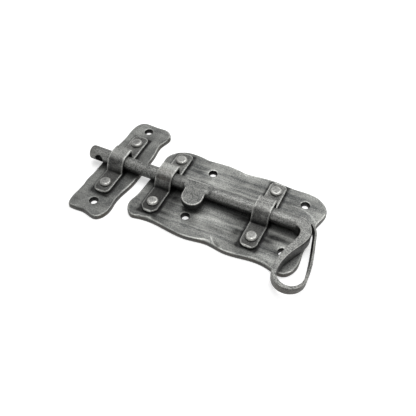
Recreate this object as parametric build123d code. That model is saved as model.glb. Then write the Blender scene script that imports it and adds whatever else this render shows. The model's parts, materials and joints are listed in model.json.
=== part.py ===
from build123d import *
import os
from math import copysign, cos, pi, radians, sin, tan

# A hand-forged sliding door bolt and its keeper, in millimetres.
# The origin is the middle of the four screw holes, on the back face of the back plate.
# +X runs along the bolt towards the handle, +Y away from the handle's loop, +Z off the door.

# Rod and the room it runs in
rod_diameter = 10.0
running_clearance = 0.3
tip_reach = 23.4              # rod end beyond the middle of the keeper strap
tip_bevel = 1.2
padlock_hole_diameter = 6.0
padlock_hole_inset = 8.5      # from the rod end to the middle of the hole

# Stop lug, forged flat out of the rod
lug_width = 15.2
lug_reach = 19.2              # from the bolt axis to the end of the lug
lug_back = 3.0                # how far the flat crosses the axis towards the back
lug_thickness = 4.4
lug_flat_depth = 0.7          # flat top below the crown of the rod
lug_flat_fade = 6.0           # radius that runs the flat out into the rod
lug_root_round = 1.4
lug_edge_bevel = 0.7
lug_offset = 24.8             # from the tip strap to the middle of the lug

# Handle, drawn out to a thin strip and bent into a drop-shaped loop
handle_offset = 32.2          # from the handle strap to the handle leg
bend_inner_radius = 5.0
leg_start_pull = 0.25         # share of the leg's length it takes to turn out of the bend
leg_end_pull = 0.5            # share of the leg's length it takes to turn into the loop
loop_radius = 9.9            # to the middle of the strip
loop_reach = 41.5             # from the bolt axis to the middle of the loop
loop_shift = 1.7              # middle of the loop beyond the leg
draw_down = 0.1               # strip starts this much under the rod
strip_end_thickness = 1.6
strip_end_height = 4.4
strip_end_gap = 1.0          # between the strip end and the outside of the bend
strip_meet_angle = 12.0       # degrees round the bend where the return leg comes alongside it
strip_end_wrap = 50.0         # degrees round the bend where the strip ends
thickness_taper = 2.8         # exponent of the drawing-out in thickness
height_taper = 3.2            # exponent of the drawing-out in height
strip_squareness = 7.0        # superellipse exponent of the flat strip, where 2 is round
squaring_share = 0.13         # share of the strip's length that turns from round to flat

# Straps
strap_width = 12.4
strap_thickness = 2.2
strap_slope = 70.0            # front leg, degrees from the plate
strap_back_gap = 0.6          # extra room between the rod and the square back leg
foot_margin = 8.6             # strap end beyond the rivet
foot_corner = 4.0
rivet_spacing = 43.6

# Rivets, peened flush in a countersink on the back of the plate
rivet_diameter = 4.6
rivet_head_diameter = 8.2
rivet_head_height = 2.2
rivet_head_bevel = 1.1
rivet_tail_diameter = 6.4
rivet_tail_depth = 1.2
rivet_clearance = 0.06

# Screw holes
screw_hole_diameter = 6.0
screw_hole_rim = 0.45
screw_spacing_x = 70.0
screw_spacing_y = 44.0

# Back plate, as margins outside its screw holes
plate_thickness = 3.4
plate_edge_bevel = 0.9
plate_left_margin = 40.9
plate_right_margin = 15.3
plate_front_margin = 16.3
plate_back_margin = 12.6
tip_strap_offset = 25.0       # tip strap outside the left screw holes
handle_strap_offset = 22.2    # handle strap inside the right screw holes
handle_strap_shift = 1.1      # rivets of this strap set towards the back

# Keeper, as margins outside its two screw holes
keeper_distance = 38.6        # from the tip strap to the keeper strap
keeper_screw_spacing = 77.6
keeper_screw_shift = 2.2
keeper_left_margin = 16.2
keeper_right_margin = 18.4
keeper_front_margin = 12.0
keeper_back_margin = 8.0
keeper_strap_shift = 1.6

# Crests and hollows of the hammered edges, in order round each plate:
# place along the edge from -1 to 1, and depth inside the blank
plate_waves = {
    "front": [
        (-0.86, 1.8), (-0.65, 3.1), (-0.22, 0.7), (0.0, 2.4), (0.20, 0.8), (0.52, 2.8), (0.70, 1.6), (0.86, 0.2),
    ],
    "right": [(-0.78, 2.9), (-0.42, 3.2), (-0.05, 3.1), (0.28, 2.4), (0.67, 0.1)],
    "back": [(0.83, 2.1), (0.58, 1.5), (0.30, 0.3), (-0.01, 1.9), (-0.21, 0.5), (-0.48, 1.2), (-0.75, 0.4)],
    "left": [(0.70, 3.0), (0.40, 3.4), (0.0, 2.4), (-0.30, 2.1), (-0.52, 1.1), (-0.72, 0.1)],
}
keeper_waves = {
    "front": [(-0.80, 1.6), (-0.48, 1.5), (-0.20, 1.7), (0.45, 0.1)],
    "right": [(-0.84, 4.6), (-0.62, 4.9), (-0.25, 2.3), (0.12, 2.0), (0.45, 2.1), (0.68, 2.5), (0.86, 0.4)],
    "back": [(0.66, 0.6), (0.25, 0.5), (-0.20, 0.1), (-0.58, 1.2)],
    "left": [(0.86, 4.0), (0.58, 3.4), (0.26, 1.8), (-0.10, 1.7), (-0.45, 1.4), (-0.66, 0.9), (-0.84, 0.3)],
}

# Places worked out from the sizes above
rod_radius = rod_diameter / 2
axis_height = plate_thickness + rod_radius + running_clearance
head_seat = plate_thickness + strap_thickness
tip_strap_x = -screw_spacing_x / 2 - tip_strap_offset
handle_strap_x = screw_spacing_x / 2 - handle_strap_offset
keeper_x = tip_strap_x - keeper_distance
rod_tip_x = keeper_x - tip_reach
lug_x = tip_strap_x + lug_offset
leg_x = handle_strap_x + handle_offset
bend_radius = rod_radius + bend_inner_radius
bend_x = leg_x - bend_radius
strip_start = rod_diameter - draw_down

upright = (Align.CENTER, Align.CENTER, Align.MIN)
section_points = 24           # points round the strip's section
bend_points = 7               # sections along each run of the handle
leg_points = 6
loop_points = 12
return_points = 5
wrap_points = 4


# Hammered plates

def hammered_face(low, high, waves, inset=0.0):
    """Face inside a closed spline through the crests and hollows along the four edges of a blank."""
    middle_x, middle_y = (low[0] + high[0]) / 2, (low[1] + high[1]) / 2
    half_x, half_y = (high[0] - low[0]) / 2 - inset, (high[1] - low[1]) / 2 - inset
    points = [(middle_x + half_x * place, middle_y - half_y + depth) for place, depth in waves["front"]]
    points += [(middle_x + half_x - depth, middle_y + half_y * place) for place, depth in waves["right"]]
    points += [(middle_x + half_x * place, middle_y + half_y - depth) for place, depth in waves["back"]]
    points += [(middle_x - half_x + depth, middle_y + half_y * place) for place, depth in waves["left"]]
    edge = Spline(*points, periodic=True)
    return make_face([edge.trim(step / len(points), (step + 1) / len(points)) for step in range(len(points))])


def screw_hole():
    """Clear hole with a broken front rim."""
    hole_radius = screw_hole_diameter / 2
    hole = Cylinder(hole_radius, plate_thickness, align=upright)
    rim = Cone(hole_radius, hole_radius + screw_hole_rim, screw_hole_rim, align=upright)
    return hole + Pos(0, 0, plate_thickness - screw_hole_rim) * rim


def hammered_plate(low, high, waves, screw_places, rivet_places):
    """Plate with a hammered bevel round its front, screw holes and countersunk rivet holes."""
    back = hammered_face(low, high, waves)
    front = hammered_face(low, high, waves, plate_edge_bevel)
    bevel_start = Pos(0, 0, plate_thickness - plate_edge_bevel)
    plate = loft([back, bevel_start * back, Pos(0, 0, plate_thickness) * front], ruled=True)
    plate -= [place * screw_hole() for place in screw_places]
    return plate - [place * rivet_shank(rivet_clearance) for place in rivet_places]


# Straps and their rivets

def rivet_shank(clearance=0.0):
    """Shank with a countersunk tail. With a clearance it is the hole for one."""
    shank_radius = rivet_diameter / 2 + clearance
    tail_radius = rivet_tail_diameter / 2 + clearance
    shank = Cylinder(shank_radius, head_seat, align=upright)
    return shank + Cone(tail_radius, shank_radius, rivet_tail_depth, align=upright)


def rivet():
    """Pan head with a hammered flat top, on its shank."""
    head = Cylinder(rivet_head_diameter / 2, rivet_head_height, align=upright)
    head = chamfer(head.edges().sort_by(Axis.Z)[-1], rivet_head_bevel)
    return rivet_shank() + Pos(0, 0, head_seat) * head


def rivet_pair(strap_x, shift):
    """Places of the two rivets of a strap."""
    return [Pos(strap_x, shift - rivet_spacing / 2), Pos(strap_x, shift + rivet_spacing / 2)]


def strap(strap_x, shift):
    """Strip bent over the rod: sloping front leg, round shoulder, square back corner and two feet."""
    arch_radius = rod_radius + running_clearance
    arch_top = 2 * arch_radius
    slope = radians(strap_slope)
    touch = (-arch_radius * sin(slope), arch_radius * (1 + cos(slope)))
    crease_y = touch[0] - touch[1] / tan(slope)
    back_y = arch_radius + strap_back_gap
    foot_reach = rivet_spacing / 2 + foot_margin
    front = Polyline((shift - foot_reach, 0), (crease_y, 0), touch)
    shoulder = CenterArc((0, arch_radius), arch_radius, 90, strap_slope)
    back = Polyline((0, arch_top), (back_y, arch_top), (back_y, 0), (shift + foot_reach, 0))
    underside = Wire([*front.edges(), *shoulder.edges(), *back.edges()])
    section = make_face(underside.offset_2d(strap_thickness, side=Side.LEFT))
    bent = extrude(Plane.YZ * section, strap_width / 2, both=True)
    blank = RectangleRounded(strap_width, 2 * foot_reach, foot_corner)
    bent &= Pos(0, shift) * extrude(blank, arch_top + strap_thickness)
    bent = Pos(strap_x, 0, plate_thickness) * bent
    return bent - [place * rivet_shank(rivet_clearance) for place in rivet_pair(strap_x, shift)]


# Bolt, modelled about its own axis and then lifted to its height over the plate

def strip_thickness(share):
    """Thickness of the drawn-out strip, from its round start at share 0 to the thin end at share 1."""
    return strip_end_thickness + (strip_start - strip_end_thickness) * (1 - share) ** thickness_taper


def strip_height(share):
    return strip_end_height + (strip_start - strip_end_height) * (1 - share ** 2) ** height_taper


def strip_section(place, along, share):
    """Superellipse across the strip, round like the rod at share 0 and flat-sided further on."""
    half_thickness, half_height = strip_thickness(share) / 2, strip_height(share) / 2
    power = 2 / (2 + (strip_squareness - 2) * min(1, share / squaring_share))
    points = []
    for step in range(section_points):
        angle = 2 * pi * step / section_points
        x = copysign(abs(cos(angle)) ** power, cos(angle))
        y = copysign(abs(sin(angle)) ** power, sin(angle))
        points.append((x * half_thickness, y * half_height))
    across = Plane(place, x_dir=(along.Y, -along.X, 0), z_dir=along)
    return across * make_face(Spline(*points, periodic=True))


def handle_path():
    """Middle line of the handle: bend, leg, loop, return leg and the end wrapped round the bend."""
    loop_x = leg_x + loop_shift
    left, right = (loop_x - loop_radius, -loop_reach), (loop_x + loop_radius, -loop_reach)
    bend_centre = (bend_x, -bend_radius)
    leg_length = loop_reach - bend_radius
    bend_length = bend_radius * pi / 2
    met_share = bend_length * (1 - strip_end_wrap / 90) / (bend_length + 2 * leg_length + pi * loop_radius)
    wrap_radius = bend_radius + (strip_thickness(met_share) + strip_end_thickness) / 2 + strip_end_gap
    lean = radians(strip_meet_angle)
    met = (bend_x + wrap_radius * cos(lean), wrap_radius * sin(lean) - bend_radius)
    return_third = (loop_reach + met[1]) / 3
    return {
        "bend": CenterArc(bend_centre, bend_radius, 90, -90),
        "leg": Bezier((leg_x, -bend_radius), (leg_x, -bend_radius - leg_start_pull * leg_length),
                      (left[0], left[1] + leg_end_pull * leg_length), left),
        "loop": CenterArc((loop_x, -loop_reach), loop_radius, 180, 180),
        "return": Bezier(right, (right[0], right[1] + return_third),
                         (met[0] + return_third * sin(lean), met[1] - return_third * cos(lean)), met),
        "wrap": CenterArc(bend_centre, wrap_radius, strip_meet_angle, strip_end_wrap - strip_meet_angle),
    }


def handle():
    """Hammered run of short facets along the middle line, drawn out thinner and flatter all the way."""
    path = handle_path()
    total = sum(edge.length for edge in path.values())
    sections = [strip_section(path["bend"] @ 0, path["bend"] % 0, 0)]
    run = 0
    run_points = [bend_points, leg_points, loop_points, return_points, wrap_points]
    for edge, points in zip(path.values(), run_points):
        for step in range(1, points + 1):
            place = step / points
            share = (run + edge.length * place) / total
            sections.append(strip_section(edge @ place, edge % place, share))
        run += edge.length
    return loft(sections, ruled=True)


def lug():
    """Flat tongue across the rod, round at its end and flared where it leaves the rod."""
    half = lug_width / 2
    flare = half + lug_root_round
    root_y = -rod_radius - lug_root_round
    end_y = half - lug_reach
    outline = make_face([
        Line((-flare, lug_back), (-flare, -rod_radius)),
        CenterArc((-flare, root_y), lug_root_round, 90, -90),
        Line((-half, root_y), (-half, end_y)),
        CenterArc((0, end_y), half, 180, 180),
        Line((half, end_y), (half, root_y)),
        CenterArc((flare, root_y), lug_root_round, 180, -90),
        Line((flare, -rod_radius), (flare, lug_back)),
        Line((flare, lug_back), (-flare, lug_back)),
    ])
    tongue = extrude(outline, lug_thickness, dir=(0, 0, 1))
    tongue = chamfer(tongue.faces().sort_by(Axis.Z)[-1].edges(), lug_edge_bevel)
    return Pos(lug_x, 0, rod_radius - lug_flat_depth - lug_thickness) * tongue


def lug_flat():
    """Cutter for the flat on the crown of the rod, with ends that run out gently."""
    length = lug_width + 2 * lug_root_round + 2 * lug_flat_fade
    block = Box(length, rod_diameter, 2 * lug_flat_fade, align=upright)
    low_edges = block.faces().sort_by(Axis.Z)[0].edges().filter_by(Axis.Y)
    return Pos(lug_x, 0, rod_radius - lug_flat_depth) * fillet(low_edges, lug_flat_fade)


def bolt():
    """Rod, drilled tip, stop lug and loop handle, forged in one piece."""
    rod = Plane.YZ * Cylinder(rod_radius, bend_x - rod_tip_x, align=upright)
    rod = chamfer(rod.edges().sort_by(Axis.X)[0], tip_bevel)
    rod = Pos(rod_tip_x) * rod - lug_flat()
    rod -= Pos(rod_tip_x + padlock_hole_inset) * Rot(90) * Cylinder(padlock_hole_diameter / 2, rod_diameter)
    return Pos(0, 0, axis_height) * (rod + lug() + handle())


# The assembly

half_x, half_y = screw_spacing_x / 2, screw_spacing_y / 2
half_keeper = keeper_screw_spacing / 2
plate_blank = (
    (-half_x - plate_left_margin, -half_y - plate_front_margin),
    (half_x + plate_right_margin, half_y + plate_back_margin))
keeper_blank = (
    (keeper_x - keeper_left_margin, keeper_screw_shift - half_keeper - keeper_front_margin),
    (keeper_x + keeper_right_margin, keeper_screw_shift + half_keeper + keeper_back_margin))
plate_screws = [Pos(x, y) for x in (-half_x, half_x) for y in (-half_y, half_y)]
keeper_screws = [Pos(keeper_x, keeper_screw_shift + y) for y in (-half_keeper, half_keeper)]
tip_place = (tip_strap_x, 0)
handle_place = (handle_strap_x, handle_strap_shift)
keeper_place = (keeper_x, keeper_strap_shift)
plate_rivets = rivet_pair(*tip_place) + rivet_pair(*handle_place)

nodes = {
    "back_plate": hammered_plate(*plate_blank, plate_waves, plate_screws, plate_rivets),
    "keeper_plate": hammered_plate(*keeper_blank, keeper_waves, keeper_screws, rivet_pair(*keeper_place)),
    "bolt": bolt(),
}
for name, place in (("tip", tip_place), ("handle", handle_place), ("keeper", keeper_place)):
    nodes[f"{name}_strap"] = strap(*place)
    nodes[f"{name}_strap_rivets"] = Compound([spot * rivet() for spot in rivet_pair(*place)])

os.makedirs("parts", exist_ok=True)
for name, shape in nodes.items():
    export_step(shape, f"parts/{name}.step")
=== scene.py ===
import json
import math

import bpy
import numpy as np
from mathutils import Matrix, Vector


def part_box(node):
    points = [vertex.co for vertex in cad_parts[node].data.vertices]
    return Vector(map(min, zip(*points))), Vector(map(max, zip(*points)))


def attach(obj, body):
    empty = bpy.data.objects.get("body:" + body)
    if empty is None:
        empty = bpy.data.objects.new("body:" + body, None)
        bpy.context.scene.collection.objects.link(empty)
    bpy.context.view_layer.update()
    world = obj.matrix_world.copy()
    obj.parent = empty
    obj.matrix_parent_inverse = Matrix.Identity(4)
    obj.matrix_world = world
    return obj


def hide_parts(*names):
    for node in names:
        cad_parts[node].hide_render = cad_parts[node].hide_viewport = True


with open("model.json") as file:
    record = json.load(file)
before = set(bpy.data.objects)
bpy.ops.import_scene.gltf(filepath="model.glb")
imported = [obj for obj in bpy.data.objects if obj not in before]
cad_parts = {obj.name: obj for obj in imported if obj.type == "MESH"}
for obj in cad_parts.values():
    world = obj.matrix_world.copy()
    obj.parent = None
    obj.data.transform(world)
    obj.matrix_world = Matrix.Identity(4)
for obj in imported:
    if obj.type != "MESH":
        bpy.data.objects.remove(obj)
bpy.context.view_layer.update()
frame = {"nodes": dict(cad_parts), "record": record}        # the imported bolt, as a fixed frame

mm = 0.001               # shapes are worked out in millimetres and written in metres
tau = 2 * math.pi
print("frame loaded:", len(frame["nodes"]), "nodes")


# A node's lowest and highest corner, in millimetres
def boxOf(node):
    low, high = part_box(node)
    return np.array(low) / mm, np.array(high) / mm


# Soft step: 0 below the first value, 1 above the second, an S-curve between
def softStep(low, high, value):
    t = np.clip((value - low) / (high - low), 0, 1)
    return t * t * (3 - 2 * t)


# Soft noise: random values on a lattice of the given cell size, blended with an S-curve, from -1 to 1
def cloud(points, cell, seed):
    scaled = points / np.asarray(cell, float)
    base = np.floor(scaled)
    part = scaled - base
    part = part * part * (3 - 2 * part)
    total = np.zeros(len(points))
    for corner in np.ndindex(2, 2, 2):
        key = (base + corner) @ np.array([127.1, 311.7, 74.7]) + seed * 19.19
        value = np.sin(key) * 43758.5453
        weight = np.prod(np.where(corner, part, 1 - part), axis=1)
        total += weight * (2 * (value - np.floor(value)) - 1)
    return total


# Quads between two closed rings of point numbers, or along a grid of them
def ringQuads(first, second):
    return np.stack([first, np.roll(first, -1), np.roll(second, -1), second], axis=1)


def gridQuads(index):
    return np.stack([index[:-1, :-1], index[1:, :-1], index[1:, 1:], index[:-1, 1:]], axis=-1).reshape(-1, 4)


# Signed volume of a closed mesh, as the sum of the cones from the origin to its faces
def signedVolume(points, faces):
    total = 0.0
    for face in faces:
        for k in range(1, face.shape[1] - 1):
            a, b, c = points[face[:, 0]], points[face[:, k]], points[face[:, k + 1]]
            total += np.einsum("ij,ij->", a, np.cross(b, c)) / 6
    return total


# Places or normals of a mesh's points, as rows of three
def pointsOf(mesh, key):
    values = np.empty(3 * len(mesh.vertices), np.float32)
    mesh.vertices.foreach_get(key, values)
    return values.reshape(-1, 3).astype(float)


# Finish values, one a point, and smooth shading that breaks at edges sharper than an angle
def finishMesh(mesh, finish, sharpAngle):
    for key, values in finish.items():
        layer = mesh.attributes.new(key, "FLOAT", "POINT")
        layer.data.foreach_set("value", np.clip(values, 0, 1).astype(np.float32))
    mesh.polygons.foreach_set("use_smooth", np.ones(len(mesh.polygons), bool))
    mesh.set_sharp_from_angle(angle=math.radians(sharpAngle))


# Points and faces become an object at the origin, with one value a point for each key of its finish
def putMesh(name, points, faces, finish, sharpAngle=40):
    if signedVolume(points, faces) < 0:
        faces = [face[:, ::-1] for face in faces]
    corners = np.concatenate([face.ravel() for face in faces]).astype(np.int32)
    counts = np.concatenate([np.full(len(face), face.shape[1]) for face in faces])
    starts = (np.cumsum(counts) - counts).astype(np.int32)
    mesh = bpy.data.meshes.new(name)
    mesh.vertices.add(len(points))
    mesh.vertices.foreach_set("co", (points * mm).astype(np.float32).ravel())
    mesh.loops.add(len(corners))
    mesh.loops.foreach_set("vertex_index", corners)
    mesh.polygons.add(len(counts))
    mesh.polygons.foreach_set("loop_start", starts)
    mesh.update(calc_edges=True)
    mesh.validate()
    finishMesh(mesh, finish, sharpAngle)
    piece = bpy.data.objects.new(name, mesh)
    bpy.context.scene.collection.objects.link(piece)
    return piece


def dress(piece, material, body, slotName, *nodes):
    piece.data.materials.append(material)
    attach(piece, body)
    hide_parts(*nodes)
    return piece


# Forged steel: mottled grey patina with streaks along X, except where "calm" is high. Bright where worn or
# where a highlight is painted, near black where sooty or where shade is painted, brown where "rust" is high,
# speckled where "pit" is high, with fine grain as bump
def forgedSteel(name, look):
    material = bpy.data.materials.new(name)
    material.use_nodes = True
    tree = material.node_tree
    nodes, link = tree.nodes, tree.links.new
    shader = nodes["Principled BSDF"]
    shader.inputs["Metallic"].default_value = look["metallic"]
    coords = nodes.new("ShaderNodeTexCoord").outputs["Object"]

    def noise(scale, detail, rough, stretch=(1, 1, 1)):
        turn = nodes.new("ShaderNodeMapping")
        turn.inputs["Scale"].default_value = stretch
        link(coords, turn.inputs["Vector"])
        node = nodes.new("ShaderNodeTexNoise")
        node.inputs["Scale"].default_value = scale
        node.inputs["Detail"].default_value = detail
        node.inputs["Roughness"].default_value = rough
        link(turn.outputs["Vector"], node.inputs["Vector"])
        return node.outputs["Fac"]

    def math2(kind, a, b, clamp=False):
        node = nodes.new("ShaderNodeMath")
        node.operation = kind
        node.use_clamp = clamp
        for socket, value in zip(node.inputs, (a, b)):
            if isinstance(value, (int, float)):
                socket.default_value = value
            else:
                link(value, socket)
        return node.outputs[0]

    def remap(value, low, high, toLow=0.0, toHigh=1.0):
        node = nodes.new("ShaderNodeMapRange")
        node.interpolation_type = "SMOOTHSTEP"
        for key, number in (("From Min", low), ("From Max", high), ("To Min", toLow), ("To Max", toHigh)):
            node.inputs[key].default_value = number
        link(value, node.inputs["Value"])
        return node.outputs["Result"]

    def attribute(key):
        node = nodes.new("ShaderNodeAttribute")
        node.attribute_name = key
        return node.outputs["Fac"]

    def mixColour(factor, a, b):
        node = nodes.new("ShaderNodeMix")
        node.data_type = "RGBA"
        link(factor, node.inputs["Factor"])
        for socket, value in ((node.inputs["A"], a), (node.inputs["B"], b)):
            if isinstance(value, tuple):
                socket.default_value = (*value, 1)
            else:
                link(value, socket)
        return node.outputs["Result"]

    def swing(value, share):          # noise as a weighed swing about zero
        return math2("MULTIPLY", math2("SUBTRACT", value, 0.5), share)

    mottle = noise(look["mottleScale"], 6, 0.62)
    streak = noise(look["streakScale"], 5, 0.78, look["streakStretch"])
    grain = noise(look["grainScale"], 3, 0.7)
    speck = noise(look["speckScale"], 1, 0.5)
    streaky = math2("MULTIPLY", swing(streak, look["streakShare"]), math2("SUBTRACT", 1.0, attribute("calm")))
    tone = math2("ADD", swing(mottle, look["mottleShare"]), swing(grain, look["grainShare"]))
    tone = math2("ADD", tone, streaky)
    patina = mixColour(remap(tone, -0.14, 0.14), look["dark"], look["light"])
    pit = attribute("pit")
    wearAndHighlight = math2("MULTIPLY", attribute("wearAndHighlight"), remap(grain, 0.3, 0.62, 0.3, 1.0))
    wearAndHighlight = math2("MAXIMUM", wearAndHighlight, math2("MULTIPLY", pit, remap(speck, 0.52, 0.66, 0.0, 0.45)))
    wornAndHighlight = mixColour(wearAndHighlight, patina, look["wornAndHighlight"])
    sootAndShade = math2("MULTIPLY", attribute("sootAndShade"), remap(mottle, 0.3, 0.6, 0.7, 1.0))
    sootAndShade = math2("MAXIMUM", sootAndShade, math2("MULTIPLY", pit, remap(speck, 0.48, 0.34, 0.0, 0.6)))
    sootyAndShaded = mixColour(sootAndShade, wornAndHighlight, look["sootAndShade"])
    rust = math2("MULTIPLY", attribute("rust"), remap(mottle, 0.35, 0.65, 0.3, 1.0))
    link(mixColour(rust, sootyAndShaded, look["rust"]), shader.inputs["Base Color"])
    link(remap(tone, -0.2, 0.2, *look["roughness"]), shader.inputs["Roughness"])
    pits = remap(noise(look["pitScale"], 2, 0.5), 0.30, 0.44)
    height = math2("MULTIPLY", grain, look["grainDepth"])
    height = math2("ADD", height, math2("MULTIPLY", pits, look["pitDepth"]))
    height = math2("ADD", height, math2("MULTIPLY", streak, look["streakDepth"]))
    bump = nodes.new("ShaderNodeBump")
    bump.inputs["Strength"].default_value = 1.0
    bump.inputs["Distance"].default_value = mm
    link(height, bump.inputs["Height"])
    link(bump.outputs["Normal"], shader.inputs["Normal"])
    return material


plateSteelLook = {
    "metallic": 0.9, "roughness": (0.56, 0.40),
    "dark": (0.068, 0.071, 0.073), "light": (0.245, 0.248, 0.234), "wornAndHighlight": (0.74, 0.75, 0.71),
    "sootAndShade": (0.010, 0.010, 0.010), "rust": (0.070, 0.055, 0.042),
    "mottleScale": 120, "streakScale": 300, "streakStretch": (0.06, 1, 1),
    "grainScale": 1250, "speckScale": 1300, "pitScale": 700,
    "mottleShare": 0.26, "streakShare": 0.85, "grainShare": 0.55,
    "grainDepth": 0.05, "pitDepth": 0.03, "streakDepth": 0.08,
}
strapSteelLook = {
    **plateSteelLook, "dark": (0.055, 0.055, 0.054), "light": (0.21, 0.21, 0.20), "wornAndHighlight": (0.86, 0.87, 0.83),
    "streakStretch": (1, 0.3, 0.3), "streakDepth": 0.03,
    "mottleShare": 0.45, "streakShare": 0.25, "grainShare": 0.75,
}
rivetSteelLook = {
    **plateSteelLook, "dark": (0.12, 0.12, 0.118), "light": (0.27, 0.27, 0.26), "wornAndHighlight": (0.82, 0.82, 0.78),
    "mottleScale": 420, "streakStretch": (1, 1, 1), "streakDepth": 0.03,
    "mottleShare": 0.6, "streakShare": 0.3, "grainShare": 0.5,
}
boltSteelLook = {
    **plateSteelLook, "dark": (0.065, 0.067, 0.067), "light": (0.235, 0.237, 0.225),
    "wornAndHighlight": (0.64, 0.64, 0.61), "streakStretch": (0.16, 1, 1), "pitDepth": 0.05,
    "mottleShare": 0.30, "streakShare": 0.40, "grainShare": 1.0,
}
plateSteel = forgedSteel("plate_steel", plateSteelLook)
strapSteel = forgedSteel("strap_steel", strapSteelLook)
rivetSteel = forgedSteel("rivet_steel", rivetSteelLook)
boltSteel = forgedSteel("bolt_steel", boltSteelLook)
print("finishes ready")


# Closed outline of a node's back face as angle and radius round the box's middle
def outlineOf(node, holes):
    low, high = boxOf(node)
    middle = (low + high)[:2] / 2
    points = pointsOf(frame["nodes"][node].data, "co") / mm
    points = points[points[:, 2] < low[2] + 0.01, :2]
    for x, y in holes:
        points = points[np.hypot(points[:, 0] - x, points[:, 1] - y) > 5]
    return polarOf(points, middle), middle


def polarOf(points, middle):
    x, y = (points - middle).T
    angle, radius = np.arctan2(y, x), np.hypot(x, y)
    order = np.argsort(angle)
    return angle[order], radius[order]


# Outline pulled inwards by an amount at each place, along its own normal
def insetOutline(outline, middle, amount):
    angle = np.linspace(-math.pi, math.pi, 1440, endpoint=False)
    radius = np.interp(angle, *outline, period=tau)
    points = middle + radius[:, None] * np.stack([np.cos(angle), np.sin(angle)], axis=1)
    along = np.roll(points, -1, axis=0) - np.roll(points, 1, axis=0)
    inward = np.stack([-along[:, 1], along[:, 0]], axis=1) / np.linalg.norm(along, axis=1)[:, None]
    return polarOf(points + inward * amount(points)[:, None], middle)


# Slab with a free outline: a grid over its box is pulled to the outline from a share of its reach outwards,
# a block of cells round each hole is opened to a circle, and rings carry the edge (1 to 6) and the hole
# walls (11 on) backwards
def slab(outline, middle, size, cell, holes, heights, edgeInset, edgeDrop, pullFrom=0.62):
    count = np.maximum(np.round(size / cell).astype(int), 8)
    u, v = np.meshgrid(np.linspace(-1, 1, count[0] + 1), np.linspace(-1, 1, count[1] + 1), indexing="ij")
    reach = np.maximum(np.abs(u), np.abs(v))
    flat = np.stack([u * size[0] / 2, v * size[1] / 2], axis=-1)
    angle = np.arctan2(flat[..., 1], flat[..., 0])
    rectRadius = np.linalg.norm(flat, axis=-1) / np.maximum(reach, 1e-9)
    edgePull = softStep(pullFrom, 1.0, reach)
    index = np.arange(u.size).reshape(u.shape)
    keep = np.ones((count[0], count[1]), bool)

    def sheet(edge, which):
        ratio = np.interp(angle, *edge, period=tau) / np.maximum(rectRadius, 1e-9)
        place = middle + flat * (1 + (ratio - 1) * edgePull)[..., None]
        for hole in holes:
            half = hole["cells"] / 2
            corner = ((np.array(hole["at"]) - middle) / size + 0.5) * count - half
            corner = np.round(corner).astype(int)
            i, j = np.meshgrid(np.arange(u.shape[0]), np.arange(u.shape[1]), indexing="ij")
            xi, eta = (i - corner[0] - half) / half, (j - corner[1] - half) / half
            square = np.maximum(np.abs(xi), np.abs(eta))
            way = np.stack([xi, eta], axis=-1) / np.maximum(np.hypot(xi, eta), 1e-9)[..., None]
            target = np.array(hole["at"]) + way * (hole[which] * square)[..., None]
            pull = (1 - softStep(1.0, 3.0, square))[..., None]
            place = place * (1 - pull) + target * pull
            keep[corner[0]:corner[0] + hole["cells"], corner[1]:corner[1] + hole["cells"]] = False
            hole["corner"] = corner
        return place.reshape(-1, 2)

    def border(i0, j0, i1, j1):
        return np.concatenate([index[i0:i1, j0], index[i1, j0:j1], index[i1:i0:-1, j1], index[i0, j1:j0:-1]])

    topFlat = sheet(insetOutline(outline, middle, edgeInset), "top")
    backFlat = sheet(outline, "bottom")
    top = np.column_stack([topFlat, heights(topFlat)])
    back = np.column_stack([backFlat, np.zeros(len(backFlat)) + heights.back])
    points, faces = [top, back], []
    quads = gridQuads(index)[keep.ravel()]
    faces += [quads, quads[:, ::-1] + len(top)]
    total = 2 * len(top)
    ringNumbers = [np.zeros(len(top)), np.zeros(len(back))]

    def bridge(loop, rings, first):
        nonlocal total
        previous = loop
        for number, ring in enumerate(rings):
            points.append(ring)
            ringNumbers.append(np.full(len(ring), first + number))
            current = np.arange(total, total + len(ring))
            faces.append(ringQuads(previous, current)[:, ::-1])
            total += len(ring)
            previous = current
        faces.append(ringQuads(previous, loop + len(top))[:, ::-1])

    loop = border(0, 0, count[0], count[1])
    above, below = top[loop], back[loop]
    drop = edgeDrop(above[:, :2])
    rings = []
    for turn in np.radians([22, 45, 68, 90]):        # rounded shoulder
        ring = above + (below - above) * np.array([math.sin(turn), math.sin(turn), 0])
        ring[:, 2] = above[:, 2] - drop * (1 - math.cos(turn))
        rings.append(ring)
    for share in (0.35, 0.7):                        # side wall, a little lumpy
        ring = below.copy()
        ring[:, 2] = rings[3][:, 2] * (1 - share) + below[:, 2] * share
        away = (ring - np.array([*middle, 0])) * np.array([1, 1, 0])
        away /= np.linalg.norm(away, axis=1)[:, None]
        rings.append(ring - away * (0.12 + 0.12 * cloud(ring, 3.0, 5))[:, None])
    bridge(loop, rings, 1)
    for hole in holes:
        i, j = hole["corner"]
        loop = border(i, j, i + hole["cells"], j + hole["cells"])[::-1]
        centre = np.array([*hole["at"], 0])
        way = (top[loop] - centre) * np.array([1, 1, 0])
        way /= np.linalg.norm(way, axis=1)[:, None]
        rings = []
        for radius, z in hole["wall"]:
            ring = centre + way * radius
            ring[:, 2] = z if z >= 0 else top[loop, 2] + z
            rings.append(ring)
        bridge(loop, rings, 11)
    return np.concatenate(points), faces, np.concatenate(ringNumbers)


# Hammered plates. The front is dented downwards only, flat under the strap feet
plateShape = {
    "cell": 0.62, "bevel": 0.65, "drop": 0.85, "rimReach": 0.42,
    "dents": 60, "dentRadius": (3.5, 9.0), "dentDepth": (0.05, 0.22),
    "rollCell": 17.0, "rollDepth": 0.16, "streakCell": (26.0, 2.4, 9.0), "streakDepth": 0.05,
    "screwCells": 8, "screwRadius": 3.0, "rimWidth": 0.32, "backRadius": 2.35,
    "rivetCells": 6, "rivetRadius": 2.36, "tailRadius": 3.26, "tailDepth": 1.2,
}


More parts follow.
